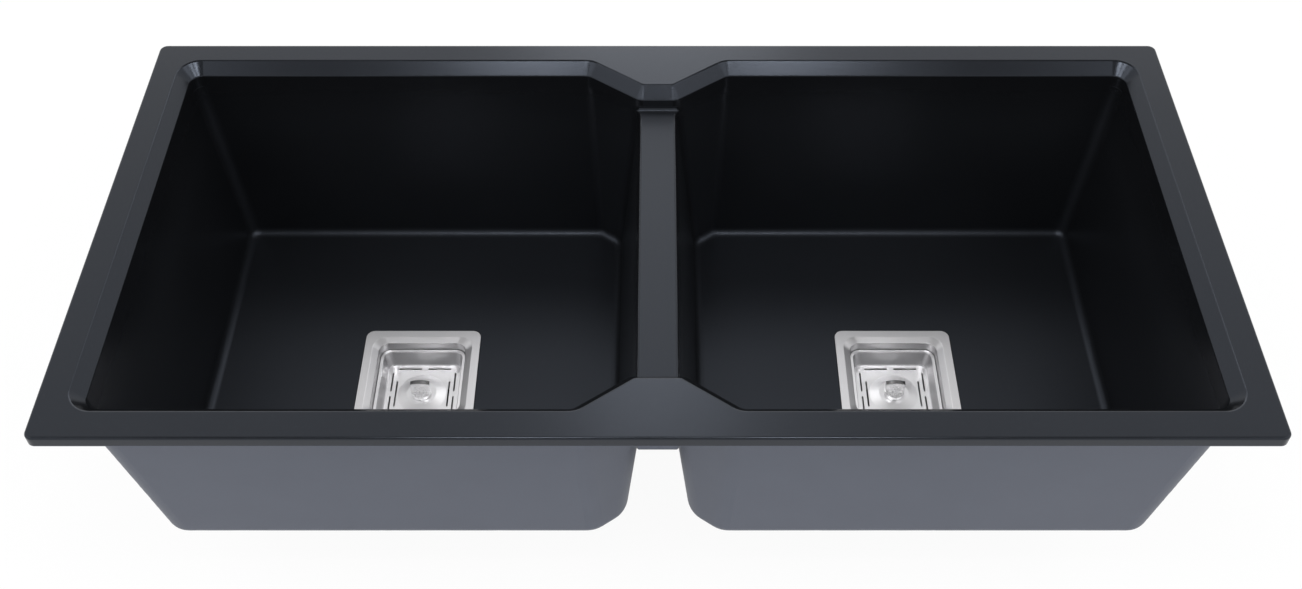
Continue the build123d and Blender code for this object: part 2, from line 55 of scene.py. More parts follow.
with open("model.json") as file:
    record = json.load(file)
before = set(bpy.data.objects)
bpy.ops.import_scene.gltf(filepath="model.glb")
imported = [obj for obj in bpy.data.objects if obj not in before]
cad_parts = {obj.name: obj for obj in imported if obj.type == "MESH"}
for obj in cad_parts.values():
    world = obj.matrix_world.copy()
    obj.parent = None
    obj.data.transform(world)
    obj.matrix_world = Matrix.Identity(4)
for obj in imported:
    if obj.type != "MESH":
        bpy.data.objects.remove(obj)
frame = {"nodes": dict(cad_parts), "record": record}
cad_low, cad_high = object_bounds()
SIDES = ("left", "right")
STATIONS = ("left_front", "left_rear", "right_front", "right_rear", "rear_left", "rear_right")
MM = 0.001

# Mesh: faces that meet at less than the flat angle are one face, and edges past the others are rounded.
MERGE_DISTANCE = 0.001 * MM
FLAT_ANGLE = math.radians(0.3)
EDGE_ANGLE = math.radians(30.0)
SHALLOW_ANGLE = math.radians(13.0)
EDGE_SEGMENTS = 2
THREAD_STEPS = 48

# Places on the sink, in metres: the middle of the right bowl, which the left one mirrors, the foot of
# the rim's outer edge, a height just below the bevel, and how fast the walls get duller with depth.
BOWL_CENTRE = Vector((0.225, 0.0015, -0.10))
RIM_FOOT = 0.0005
BOWL_LIP = -0.004
WALL_FADE = 8.0

# Composite: pattern scales in bumps a metre, then shares from 0 to 1.
CLOUD_SCALE = 9.0
MOTTLE_SCALE = 34.0
RIPPLE_SCALE = 210.0
CLUSTER_SCALE = 260.0
GRAIN_RELIEF = 0.02 * MM
CELL_SHARE = 0.8
SPECK_RADIUS = 0.16
SPECK_STRENGTH = 0.45
RAW_DULLNESS = 0.25
STONE_SPECULAR = 0.47
STONE_SHEEN = (0.73, 0.82, 1.0, 1.0)

# Steel: what its walls keep of the steel's tone in painted shade, and what a knob's level top keeps under
# a painted dark reflection.
SHADED_WALL_TONE = 0.66
DARK_REFLECTION_TONE = 0.16

# Stage: sizes in metres, and the cosines at which the studio's dark side starts and is darkest.
SENSOR_WIDTH_MM = 36.0
FLOOR_SIZE = 14.0
DARK_START = 0.64
DARK_FULL = 0.78

# Places of a Mix node's colour sockets, and of the direction on a world's Texture Coordinate.
MIX_FACTOR, MIX_FIRST, MIX_SECOND, MIX_RESULT = 0, 6, 7, 2
WORLD_DIRECTION = 0


# ---- Node graphs ----
class Value:
    """A socket that takes part in sums: each operator adds a Math node to its material."""

    def __init__(self, graph, socket):
        self.graph = graph
        self.socket = socket

    def sum_with(self, operation, first, second):
        return self.graph.add("ShaderNodeMath", {"operation": operation}, {0: first, 1: second})

    def __add__(self, other):
        return self.sum_with("ADD", self, other)

    def __radd__(self, other):
        return self.sum_with("ADD", other, self)

    def __sub__(self, other):
        return self.sum_with("SUBTRACT", self, other)

    def __rsub__(self, other):
        return self.sum_with("SUBTRACT", other, self)

    def __mul__(self, other):
        return self.sum_with("MULTIPLY", self, other)

    def __rmul__(self, other):
        return self.sum_with("MULTIPLY", other, self)

    def __gt__(self, other):
        return self.sum_with("GREATER_THAN", self, other)

    def __lt__(self, other):
        return self.sum_with("LESS_THAN", self, other)


class Graph:
    """The node tree of one material, or of the world."""

    def __init__(self, tree):
        self.tree = tree
        self.tree.nodes.clear()

    def add(self, kind, settings, sockets, output=0):
        """Adds a node: its settings first, then the values or links of its sockets."""
        node = self.tree.nodes.new(kind)
        for key, value in settings.items():
            if key == "stops":
                self.set_stops(node.color_ramp, value)
            else:
                setattr(node, key, value)
        for key, value in sockets.items():
            if isinstance(value, Value):
                self.tree.links.new(value.socket, node.inputs[key])
            else:
                node.inputs[key].default_value = value
        return Value(self, node.outputs[output]) if node.outputs else node

    def set_stops(self, ramp, stops):
        """Gives a colour ramp its stops, each a position and a grey level."""
        while len(ramp.elements) < len(stops):
            ramp.elements.new(1.0)
        for element, (position, level) in zip(ramp.elements, stops):
            element.position = position
            element.color = (level, level, level, 1.0)

    def position(self):
        """Object coordinates."""
        return self.add("ShaderNodeTexCoord", {}, {}, output="Object")

    def facing(self):
        """The direction that the surface faces."""
        return self.add("ShaderNodeNewGeometry", {}, {}, output="Normal")

    def split(self, vector, axis):
        """One axis of a vector."""
        return self.add("ShaderNodeSeparateXYZ", {}, {"Vector": vector}, output=axis)

    def height(self):
        """Height over the worktop's plane, in metres."""
        return self.split(self.position(), "Z")

    def upward(self):
        """1 where the surface faces up, 0 on an upright wall, -1 where it faces down."""
        return self.split(self.facing(), "Z")

    def stretched(self, scale=(1.0, 1.0, 1.0)):
        """Object coordinates, stretched by a scale on each axis."""
        return self.add("ShaderNodeMapping", {}, {"Vector": self.position(), "Scale": scale})

    def noise(self, scale, detail=2.0, stretch=(1.0, 1.0, 1.0)):
        """A noise from 0 to 1, its scale in bumps a metre."""
        sockets = {"Vector": self.stretched(stretch), "Scale": scale, "Detail": detail}
        return self.add("ShaderNodeTexNoise", {}, sockets)

    def ramp(self, value, *stops):
        """A value sent through grey stops."""
        return self.add("ShaderNodeValToRGB", {"stops": stops}, {"Fac": value})

    def mix(self, factor, first, second):
        """A mix of two colours."""
        sockets = {MIX_FACTOR: factor, MIX_FIRST: rgba(first), MIX_SECOND: rgba(second)}
        return self.add("ShaderNodeMix", {"data_type": "RGBA"}, sockets, output=MIX_RESULT)

    def bump(self, height, distance, strength=1.0):
        """A normal from a height, whose full range is the distance in metres."""
        sockets = {"Height": height, "Distance": distance, "Strength": strength}
        return self.add("ShaderNodeBump", {}, sockets)

    def ray(self, kind):
        """1 for one kind of ray, such as a camera ray."""
        return self.add("ShaderNodeLightPath", {}, {}, output=f"Is {kind} Ray")

    def finish(self, sockets):
        """Ends the material in one surface shader."""
        surface = self.add("ShaderNodeBsdfPrincipled", {}, sockets)
        self.add("ShaderNodeOutputMaterial", {}, {"Surface": surface})


def new_material(name):
    """An empty material and the graph of its nodes."""
    material = bpy.data.materials.new(name)
    material.use_nodes = True
    return material, Graph(material.node_tree)


def rgba(colour):
    """A colour with its alpha, or a socket as it is."""
    return colour if isinstance(colour, Value) else (*colour[:3], 1.0)


def toned(colour, share):
    """A colour with only a share of its level, or with more than all of it."""
    return [share * channel for channel in colour]


def uneven(level, pattern, spread):
    """A level that varies over a spread with a pattern from 0 to 1."""
    return level + (pattern - 0.5) * spread


# ---- Finishes ----
def hidden_side(graph):
    """1 on the sink's unseen side: its bowls' outer walls and the underside of its rim."""
    place, normal = graph.position(), graph.facing()
    folded = graph.add("ShaderNodeVectorMath", {"operation": "ABSOLUTE"}, {0: place})
    across = graph.split(folded, "X") - BOWL_CENTRE.x
    side = graph.add("ShaderNodeMath", {"operation": "SIGN"}, {0: graph.split(place, "X")})
    height, upward = graph.split(place, "Z"), graph.split(normal, "Z")
    outward = (
        across * side * graph.split(normal, "X")
        + (graph.split(place, "Y") - BOWL_CENTRE.y) * graph.split(normal, "Y")
        + (height - BOWL_CENTRE.z) * upward
    )
    outer = (outward > 0.0) * (1 - (upward > 0.5))
    underside = upward < -0.5
    return (height < RIM_FOOT) * (1 - (1 - outer) * (1 - underside))


def stone_specks(graph, grain_size):
    """1 on the pale quartz grains, which gather in loose clusters."""
    sockets = {"Vector": graph.stretched(), "Scale": CELL_SHARE / grain_size}
    cells = graph.add("ShaderNodeTexVoronoi", {}, sockets)
    clusters = graph.ramp(graph.noise(CLUSTER_SCALE), (0.5, 0.0), (0.62, 1.0))
    return (cells < SPECK_RADIUS) * clusters


def stone_dullness(graph, settings, behind):
    """How much duller the composite is behind, on the bowls' walls, and on the floors and divider."""
    height = graph.height()
    level = graph.ramp(graph.upward(), (0.96, 0.0), (0.99, 1.0))
    wall = graph.ramp(height * -WALL_FADE, (0.05, 0.0), (0.45, 1.0)) * (1 - level)
    floor = (height < BOWL_LIP) * level
    inside = floor * settings.floor_roughness + wall * settings.wall_roughness
    return behind * RAW_DULLNESS + (1 - behind) * inside


def stone_composite(settings):
    """Near-black quartz composite: a satin skin where it is seen, and behind a paler raw moulding whose
    tone also holds painted light, the bounce from the white surroundings.
    """
    material, graph = new_material("stone_composite")
    behind = hidden_side(graph)
    grain = graph.noise(1.0 / settings.grain_size, detail=3.0)
    cloud = graph.noise(CLOUD_SCALE, detail=3.0)
    mottle = graph.noise(MOTTLE_SCALE, detail=5.0)
    specks = stone_specks(graph, settings.grain_size)
    face = graph.mix(cloud, settings.stone_dark, settings.stone_light)
    # The paler tone behind is partly the raw moulding's colour and partly painted light from the bounce
    # off the white surroundings.
    raw_and_bounce = graph.mix(mottle, settings.stone_raw_and_bounce, toned(settings.stone_raw_and_bounce, 0.9))
    ground = graph.mix(behind, face, raw_and_bounce)
    relief = grain * 0.6 + specks * 0.2 + graph.noise(RIPPLE_SCALE) * 0.3
    skin = uneven(settings.stone_roughness, cloud, spread=0.05) + (grain - 0.5) * 0.06
    graph.finish({
        "Base Color": graph.mix(specks * SPECK_STRENGTH, ground, settings.stone_speck),
        "Roughness": skin + stone_dullness(graph, settings, behind),
        "Normal": graph.bump(relief, GRAIN_RELIEF, strength=0.5),
        "Specular IOR Level": STONE_SPECULAR,
        "Specular Tint": STONE_SHEEN,
    })
    return material


def steel(name, colour, roughness, brush=(1.0, 1.0, 1.0), brush_depth=0.004, shaded_band=None, cap=None):
    """Stainless steel with fine brush lines, their depth in mm, and faint wipes.

    It is darker between the two heights of its shaded band, as painted shade on the hollow walls, and its
    level faces above the cap height are darkened as a painted dark reflection.
    """
    material, graph = new_material(name)
    lines = graph.noise(scale=900.0, detail=3.0, stretch=brush)
    wipes = graph.noise(scale=28.0, detail=3.0)
    tone = graph.mix(wipes, toned(colour, 0.92), colour)
    if shaded_band:
        # Painted shade: the walls between the band's two heights take a darker copy of the steel's tone.
        height = graph.height()
        wall = (height > shaded_band[0]) * (height < shaded_band[1])
        tone = graph.mix(wall, tone, toned(colour, SHADED_WALL_TONE))
    if cap:
        # Painted reflection: level faces above the cap height are darkened as if they mirrored something
        # dark.
        top = (graph.height() > cap) * (graph.upward() > 0.8)
        tone = graph.mix(top, tone, toned(colour, DARK_REFLECTION_TONE))
    graph.finish({
        "Base Color": tone,
        "Metallic": 1.0,
        "Roughness": uneven(roughness, lines, spread=0.12) + (wipes - 0.5) * 0.10,
        "Normal": graph.bump(lines, brush_depth * MM, strength=0.6),
    })
    return material


def zinc_plate(settings):
    """Bright zinc plate with its faint cloudy blue cast."""
    material, graph = new_material("zinc_plate")
    cloud = graph.noise(scale=160.0, detail=4.0)
    crystals = graph.noise(scale=1400.0, detail=3.0)
    graph.finish({
        "Base Color": graph.mix(cloud, settings.zinc, toned(settings.zinc, 0.86)),
        "Metallic": 1.0,
        "Roughness": uneven(0.38, cloud, spread=0.16),
        "Normal": graph.bump(crystals, 0.006 * MM),
    })
    return material


def turned_brass(settings):
    """Turned brass with the tool's fine rings."""
    material, graph = new_material("turned_brass")
    rings = graph.noise(scale=1500.0, stretch=(0.1, 0.1, 1.0))
    graph.finish({
        "Base Color": graph.mix(rings, settings.brass, toned(settings.brass, 0.8)),
        "Metallic": 1.0,
        "Roughness": uneven(0.34, rings, spread=0.12),
        "Normal": graph.bump(rings, 0.008 * MM),
    })
    return material


def moulded_rubber(settings):
    """Black moulded rubber with a dull bloom."""
    material, graph = new_material("moulded_rubber")
    bloom = graph.ramp(graph.noise(scale=60.0, detail=4.0), (0.45, 0.0), (0.75, 1.0))
    grain = graph.noise(scale=1800.0, detail=3.0)
    graph.finish({
        "Base Color": graph.mix(bloom * 0.5, settings.rubber, toned(settings.rubber, 2.4)),
        "Roughness": uneven(0.70, bloom, spread=0.16),
        "Normal": graph.bump(grain, 0.015 * MM),
    })
    return material


def moulded_plastic(name, colour, roughness):
    """Injection moulded plastic with a fine eroded grain and faint flow marks."""
    material, graph = new_material(name)
    grain = graph.noise(scale=2200.0, detail=3.0)
    flow = graph.noise(scale=22.0)
    graph.finish({
        "Base Color": graph.mix(flow, toned(colour, 0.9), colour),
        "Roughness": uneven(roughness, grain, spread=0.12),
        "Normal": graph.bump(grain, 0.02 * MM),
    })
    return material


# ---- Shapes ----
def select_only(piece):
    """Makes one object the selected and active one."""
    bpy.ops.object.select_all(action="DESELECT")
    piece.select_set(True)
    bpy.context.view_layer.objects.active = piece


def merged_copy(node):
    """A copy of a CAD node with its own merged mesh, free of seams in its flat faces."""
    piece = bpy.data.objects.new(f"fine_{node}", frame["nodes"][node].data.copy())
    bpy.context.scene.collection.objects.link(piece)
    select_only(piece)
    bpy.ops.object.mode_set(mode="EDIT")
    bpy.ops.mesh.select_all(action="SELECT")
    bpy.ops.mesh.remove_doubles(threshold=MERGE_DISTANCE)
    bpy.ops.mesh.customdata_custom_splitnormals_clear()
    bpy.ops.mesh.mark_sharp(clear=True)
    bpy.ops.mesh.dissolve_limited(angle_limit=FLAT_ANGLE)
    bpy.ops.object.mode_set(mode="OBJECT")
    return piece


def pick_vertices(piece, wanted):
    """Opens a piece's mesh with only the wanted vertices selected."""
    select_only(piece)
    bpy.ops.object.mode_set(mode="EDIT")
    bpy.ops.mesh.select_mode(type="VERT")
    bpy.ops.mesh.select_all(action="DESELECT")
    bpy.ops.object.mode_set(mode="OBJECT")
    for vertex in piece.data.vertices:
        vertex.select = wanted(vertex.co)
    bpy.ops.object.mode_set(mode="EDIT")


def round_edges(piece, width, angle=EDGE_ANGLE):
    """Rounds a piece's sharp edges, and keeps its flat faces flat in the light."""
    select_only(piece)
    bpy.ops.object.shade_smooth()
    bevel = piece.modifiers.new("edge_round", "BEVEL")
    bevel.width = width
    bevel.segments = EDGE_SEGMENTS
    bevel.limit_method = "ANGLE"
    bevel.angle_limit = angle
    bevel.use_clamp_overlap = False
    bpy.ops.object.modifier_apply(modifier=bevel.name)
    even = piece.modifiers.new("even_faces", "WEIGHTED_NORMAL")
    even.weight = 100
    bpy.ops.object.modifier_apply(modifier=even.name)


def helical_thread(name, axis, crest, depth, low, high, pitch):
    """A screw thread's ridge, wound upwards about an upright axis."""
    bpy.ops.mesh.primitive_circle_add(
        vertices=4,
        radius=depth,
        fill_type="NOTHING",
        location=(axis.x + crest - depth, axis.y, low + depth / 2),
        rotation=(math.pi / 2, 0.0, 0.0),
    )
    ridge = bpy.context.object
    ridge.name = name
    select_only(ridge)
    bpy.context.scene.cursor.location = (axis.x, axis.y, 0.0)
    bpy.ops.object.transform_apply(location=False, rotation=True, scale=True)
    bpy.ops.object.origin_set(type="ORIGIN_CURSOR")
    winding = ridge.modifiers.new("winding", "SCREW")
    winding.screw_offset = pitch
    winding.iterations = int((high - low - depth) / pitch)
    winding.steps = THREAD_STEPS
    winding.render_steps = THREAD_STEPS
    winding.use_merge_vertices = True
    winding.use_smooth_shade = False
    bpy.ops.object.modifier_apply(modifier=winding.name)
    bpy.ops.object.mode_set(mode="EDIT")
    bpy.ops.mesh.select_all(action="SELECT")
    bpy.ops.mesh.fill_holes(sides=4)
    bpy.ops.mesh.select_all(action="SELECT")
    bpy.ops.mesh.normals_make_consistent(inside=False)
    bpy.ops.object.mode_set(mode="OBJECT")
    bpy.ops.object.transform_apply(location=True, rotation=True, scale=True)
    return ridge


def hand_over(piece, node, body, material):
    """Lets a finished piece stand for its CAD node, with its finish."""
    piece.data.materials.clear()
    piece.data.materials.append(material)
    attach(piece, body)
    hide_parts(node)


def dress(node, material):
    """Gives a CAD node that has its own rounds a finished material."""
    for slot in frame["nodes"][node].material_slots:
        slot.material = material


def join(piece, *others):
    """Joins finished shapes into one piece."""
    select_only(piece)
    for other in others:
        other.select_set(True)
    bpy.ops.object.join()


def mount_point(name):
    """A mount's place in the record."""
    mounts = frame["record"]["mounts"]
    return next(Vector(mount["pos_m"]) for mount in mounts if mount["name"] == name)


# ---- Settings ----
def colour_property(name, description, default):
    """A colour that a user can change."""
    return bpy.props.FloatVectorProperty(
        name=name,
        description=description,
        subtype="COLOR",
        size=3,
        min=0.0,
        max=1.0,
        default=default,
    )


def share_property(name, description, default):
    """A share from 0 to 1 that a user can change."""
    return bpy.props.FloatProperty(
        name=name,
        description=description,
        subtype="FACTOR",
        min=0.0,
        max=1.0,
        default=default,
    )


def length_property(name, description, default):
    """A length that a user can change, shown to a hundredth of a millimetre."""
    return bpy.props.FloatProperty(
        name=name,
        description=description,
        unit="LENGTH",
        precision=5,
        min=0.0,
        default=default,
    )


def angle_property(name, description, degrees):
    """An angle that a user can change."""
    return bpy.props.FloatProperty(
        name=name,
        description=description,
        subtype="ANGLE",
        default=math.radians(degrees),
    )


class SinkFinishes(bpy.types.PropertyGroup):
    """Colours and grain of the sink's materials."""

    stone_dark: colour_property("Stone, dark", "Darker tone of the composite", (0.0032, 0.0034, 0.0039))
    stone_light: colour_property("Stone, light", "Lighter tone of the composite", (0.0052, 0.0055, 0.0063))
    # The raw tone is partly the unpolished side's colour and partly painted light from the bounce off the
    # white surroundings.
    stone_raw_and_bounce: colour_property("Stone, raw", "Tone of the unpolished side", (0.0755, 0.083, 0.107))
    stone_speck: colour_property("Stone grains", "Colour of the pale quartz grains", (0.045, 0.047, 0.052))
    stone_roughness: share_property("Stone roughness", "How dull the composite's skin is", 0.23)
    floor_roughness: share_property(
        "Floor roughness", "How much duller the composite is on the floors and the divider", 0.20
    )
    wall_roughness: share_property(
        "Wall roughness", "How much duller the composite is on the bowls' walls", 0.17
    )
    grain_size: length_property("Grain", "Size of the composite's grain", 0.8 * MM)
    satin_steel: colour_property("Satin steel", "Colour of the drain wells", (0.72, 0.715, 0.73))
    basket_steel: colour_property("Basket steel", "Colour of the strainer baskets", (0.94, 0.935, 0.95))
    bright_steel: colour_property("Bright steel", "Colour of the polished knobs", (0.95, 0.945, 0.955))
    well_roughness: share_property("Well roughness", "How dull the drain wells are", 0.34)
    basket_roughness: share_property("Basket roughness", "How dull the strainer baskets are", 0.36)
    knob_roughness: share_property("Knob roughness", "How dull the polished knobs are", 0.28)
    zinc: colour_property("Zinc", "Colour of the plated clamps and screws", (0.58, 0.60, 0.63))
    brass: colour_property("Brass", "Colour of the threaded inserts", (0.72, 0.50, 0.22))
    rubber: colour_property("Rubber", "Colour of seals and stoppers", (0.012, 0.012, 0.013))
    cup: colour_property("Clamp cup", "Colour of the plastic cups", (0.10, 0.10, 0.105))
    cup_roughness: share_property("Cup roughness", "How dull the plastic cups are", 0.50)
    nut: colour_property("Lock nut", "Colour of the nuts and washers", (0.62, 0.62, 0.60))
    nut_roughness: share_property("Nut roughness", "How dull the nuts and washers are", 0.42)


class SinkSizes(bpy.types.PropertyGroup):
    """Sizes of the fine shapes that the finished pieces get."""

    sheet_round: length_property("Sheet edges", "Round on steel edges", 0.25 * MM)
    plastic_round: length_property("Plastic edges", "Round on moulded edges", 0.5 * MM)
    seal_round: length_property("Seal edges", "Round on thin rubber and plastic", 0.2 * MM)
    mouth_drop: length_property("Mouth drop", "Depth of the bevel at a well's mouth", 2.6 * MM)
    basket_foot: length_property("Basket foot", "Height of a basket's round foot", 2.6 * MM)
    basket_rim: length_property("Basket rim", "Thickness of a basket's rim", 1.2 * MM)
    knob_arch: length_property("Knob arch", "Height of the arch on a knob's top", 3.0 * MM)
    outlet_radius: length_property("Outlet radius", "Radius over the outlet's thread", 23.9 * MM)
    outlet_length: length_property("Outlet length", "Length of the outlet's thread", 22.0 * MM)
    thread_pitch: length_property("Thread pitch", "Pitch of the outlet's thread", 2.309 * MM)
    thread_depth: length_property("Thread depth", "Depth of the outlet's thread", 0.7 * MM)


class SinkStage(bpy.types.PropertyGroup):
    """The camera, the floor and the lights."""

    lens: bpy.props.FloatProperty(
        name="Lens",
        description="Focal length on a 36 mm wide sensor",
        default=40.165,
        unit="CAMERA",
    )
    camera_tilt: angle_property("Camera tilt", "How far the camera looks down from level", 48.541)
    camera_height: length_property("Camera height", "Height of the camera above the rim's top", 0.8739)
    camera_distance: length_property(
        "Camera distance", "Distance of the camera before the rim's front edge", 0.6300
    )
    camera_shift: bpy.props.FloatProperty(
        name="Camera shift",
        description="Sideways shift that centres the sink as in the photograph",
        default=-0.00518,
        precision=5,
    )
    floor_gap: length_property("Floor gap", "How far the floor lies below the waste outlets", 2.0 * MM)
    floor_tone: colour_property("Floor", "Colour of the floor", (0.86, 0.86, 0.86))
    floor_white: share_property(
        "Floor white", "How much of the floor reads as plain white, the rest keeping the shadow", 0.94
    )
    surround: share_property("Surround", "Level of the white surround that lights the sink", 1.0)
    dark_level: share_property("Dark side", "Level of the studio's dark side in reflections", 0.22)
    dark_height: angle_property(
        "Dark side height", "How high the middle of the studio's dark side stands", 75.0
    )


# ---- Operators ----
class SINK_OT_stone_body(bpy.types.Operator):
    """Finish the sink body in quartz composite"""

    bl_idname = "sink.stone_body"
    bl_label = "Sink Body"

    def execute(self, context):
        dress("sink_body", stone_composite(context.scene.sink_finishes))
        return {"FINISHED"}


class SINK_OT_drain_wells(bpy.types.Operator):
    """Model the square steel wells with soft sheet edges and a threaded spigot"""

    bl_idname = "sink.drain_wells"
    bl_label = "Drain Wells"

    def execute(self, context):
        finishes, sizes = context.scene.sink_finishes, context.scene.sink_sizes
        low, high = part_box("left_drain_well")
        # The well's wall below its bevelled mouth gets painted shade.
        satin = steel(
            "satin_steel",
            finishes.satin_steel,
            finishes.well_roughness,
            brush=(0.06, 1.0, 1.0),
            shaded_band=(low.z, high.z - sizes.mouth_drop),
        )
        for side in SIDES:
            self.make_well(side, sizes, satin)
        return {"FINISHED"}

    def make_well(self, side, sizes, satin):
        """One well, its spigot turned down to the thread's root and a ridge wound round it."""
        outlet = mount_point(f"{side}_waste_outlet")
        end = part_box(f"{side}_drain_well")[0].z
        shoulder = end + sizes.outlet_length
        well = merged_copy(f"{side}_drain_well")
        self.turn_down(well, outlet, sizes.outlet_radius, end, shoulder, sizes.thread_depth)
        round_edges(well, sizes.sheet_round, SHALLOW_ANGLE)
        ridge = helical_thread(
            f"{side}_outlet_thread",
            outlet,
            sizes.outlet_radius,
            sizes.thread_depth,
            end + sizes.thread_pitch / 2,
            shoulder - sizes.thread_pitch / 2,
            sizes.thread_pitch,
        )
        join(well, ridge)
        hand_over(well, f"{side}_drain_well", "sink", satin)

    def turn_down(self, well, axis, radius, low, high, depth):
        """Takes a thread's depth off an upright cylinder's skin."""

        def on_skin(point):
            reach = math.hypot(point.x - axis.x, point.y - axis.y)
            return abs(reach - radius) < 0.05 * MM and low - MM < point.z < high + 0.1 * MM

        pick_vertices(well, on_skin)
        share = (radius - depth) / radius
        bpy.ops.transform.resize(value=(share, share, 1.0), center_override=(axis.x, axis.y, low))
        bpy.ops.object.mode_set(mode="OBJECT")


class SINK_OT_seals(bpy.types.Operator):
    """Model the rubber seals and gaskets with moulded edges, and finish the stoppers"""

    bl_idname = "sink.seals"
    bl_label = "Seals"

    def execute(self, context):
        black = moulded_rubber(context.scene.sink_finishes)
        for side in SIDES:
            for piece in ("flange_seal", "floor_gasket"):
                seal = merged_copy(f"{side}_{piece}")
                round_edges(seal, context.scene.sink_sizes.seal_round)
                hand_over(seal, f"{side}_{piece}", "sink", black)
            dress(f"{side}_stopper", black)
        return {"FINISHED"}


class SINK_OT_cups_and_nuts(bpy.types.Operator):
    """Model the moulded cups, washers and lock nuts under the bowls"""

    bl_idname = "sink.cups_and_nuts"
    bl_label = "Cups and Nuts"

    def execute(self, context):
        finishes, sizes = context.scene.sink_finishes, context.scene.sink_sizes
        grey = moulded_plastic("grey_plastic", finishes.cup, finishes.cup_roughness)
        white = moulded_plastic("white_plastic", finishes.nut, finishes.nut_roughness)
        for side in SIDES:
            for piece, slot, finish, width in (
                ("clamp_cup", "grey_plastic", grey, sizes.plastic_round),
                ("slip_washer", "white_plastic", white, sizes.seal_round),
                ("lock_nut", "white_plastic", white, sizes.plastic_round),
            ):
                part = merged_copy(f"{side}_{piece}")
                round_edges(part, width)
                hand_over(part, f"{side}_{piece}", "sink", finish)
        return {"FINISHED"}


class SINK_OT_baskets(bpy.types.Operator):
    """Finish the pressed strainer baskets in brushed steel"""

    bl_idname = "sink.baskets"
    bl_label = "Strainer Baskets"

    def execute(self, context):
        finishes, sizes = context.scene.sink_finishes, context.scene.sink_sizes
        low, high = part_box("left_basket")
        # The basket's wall between its foot and its rim gets painted shade.
        brushed = steel(
            "basket_steel",
            finishes.basket_steel,
            finishes.basket_roughness,
            brush=(0.3, 1.0, 1.0),
            shaded_band=(low.z + sizes.basket_foot, high.z - sizes.basket_rim),
        )
        for side in SIDES:
            dress(f"{side}_basket", brushed)
        return {"FINISHED"}


class SINK_OT_knobs(bpy.types.Operator):
    """Finish the polished knobs, and model their stems and the nuts that hold the stoppers"""

    bl_idname = "sink.knobs"
    bl_label = "Knobs and Stems"

    def execute(self, context):
        finishes, sizes = context.scene.sink_finishes, context.scene.sink_sizes
        # The knobs' level tops, down to the arch's height, get a painted dark reflection.
        bright = steel(
            "bright_steel",
            finishes.bright_steel,
            finishes.knob_roughness,
            brush_depth=0.001,
            cap=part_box("left_knob")[1].z - sizes.knob_arch,
        )
        for side in SIDES:
            dress(f"{side}_knob", bright)
            for piece in ("stem", "stopper_nut"):
                part = merged_copy(f"{side}_{piece}")
                round_edges(part, sizes.sheet_round)
                hand_over(part, f"{side}_{piece}", f"{side}_stopper_set", bright)
        return {"FINISHED"}


class SINK_OT_clamps(bpy.types.Operator):
    """Model the bent rim clamps, their hexagon socket screws and brass inserts"""

    bl_idname = "sink.clamps"
    bl_label = "Rim Clamps"

    def execute(self, context):
        finishes, sizes = context.scene.sink_finishes, context.scene.sink_sizes
        zinc = zinc_plate(finishes)
        for station in STATIONS:
            clamp = merged_copy(f"rim_clamp_{station}")
            round_edges(clamp, sizes.sheet_round)
            hand_over(clamp, f"rim_clamp_{station}", f"clamp_{station}", zinc)
        screws = merged_copy("clamp_screws")
        round_edges(screws, sizes.sheet_round)
        hand_over(screws, "clamp_screws", "sink", zinc)
        inserts = merged_copy("clamp_inserts")
        round_edges(inserts, sizes.sheet_round)
        hand_over(inserts, "clamp_inserts", "sink", turned_brass(finishes))
        return {"FINISHED"}


# ---- Stage ----
def softbox(name, azimuth, elevation, distance, size, radiance):
    """A softbox aimed at the sink's middle; azimuth 0 is behind the sink, 90 to its right."""
    around, up = math.radians(azimuth), math.radians(elevation)
    away = Vector((math.sin(around) * math.cos(up), math.cos(around) * math.cos(up), math.sin(up)))
    middle = (cad_low + cad_high) / 2
    bpy.ops.object.light_add(type="AREA", location=middle + away * distance)
    lamp = bpy.context.object
    lamp.name = name
    lamp.rotation_euler = away.to_track_quat("Z", "Y").to_euler()
    lamp.visible_camera = False
    lamp.data.shape = "RECTANGLE"
    lamp.data.size, lamp.data.size_y = size
    lamp.data.energy = radiance * math.pi * size[0] * size[1]


def white_surround(settings):
    """A white world, darker in reflections where the photographer's side of the studio is."""
    world = bpy.data.worlds.new("white_surround")
    world.use_nodes = True
    bpy.context.scene.world = world
    graph = Graph(world.node_tree)
    direction = graph.add("ShaderNodeTexCoord", {}, {}, output=WORLD_DIRECTION)
    darkest = (0.0, -math.cos(settings.dark_height), math.sin(settings.dark_height))
    toward_dark = graph.add(
        "ShaderNodeVectorMath",
        {"operation": "DOT_PRODUCT"},
        {0: direction, 1: darkest},
        output="Value",
    )
    mirrored = graph.ramp(toward_dark, (DARK_START, 1.0), (DARK_FULL, settings.dark_level))
    level = settings.surround * (1 - graph.ray("Glossy") * (1 - mirrored))
    shader = graph.add("ShaderNodeBackground", {}, {"Color": (1.0, 1.0, 1.0, 1.0), "Strength": level})
    graph.add("ShaderNodeOutputWorld", {}, {"Surface": shader})


def floor_finish(settings):
    """A pale floor that reads white but keeps a soft shadow, and is open from below."""
    material, graph = new_material("studio_floor")
    grain = graph.noise(scale=40.0)
    colour = graph.mix(grain, settings.floor_tone, toned(settings.floor_tone, 0.98))
    matt = graph.add("ShaderNodeBsdfDiffuse", {}, {"Color": colour})
    glow = graph.add("ShaderNodeEmission", {}, {"Color": (1.0, 1.0, 1.0, 1.0), "Strength": 1.0})
    unseen = (1 - graph.ray("Camera")) * (1 - graph.ray("Transmission")) * (1 - graph.ray("Glossy"))
    share = (1 - unseen) * settings.floor_white
    top = graph.add("ShaderNodeMixShader", {}, {0: share, 1: matt, 2: glow})
    below = graph.add("ShaderNodeNewGeometry", {}, {}, output="Backfacing")
    clear = graph.add("ShaderNodeBsdfTransparent", {}, {})
    whole = graph.add("ShaderNodeMixShader", {}, {0: below, 1: top, 2: clear})
    graph.add("ShaderNodeOutputMaterial", {}, {"Surface": whole})
    return material


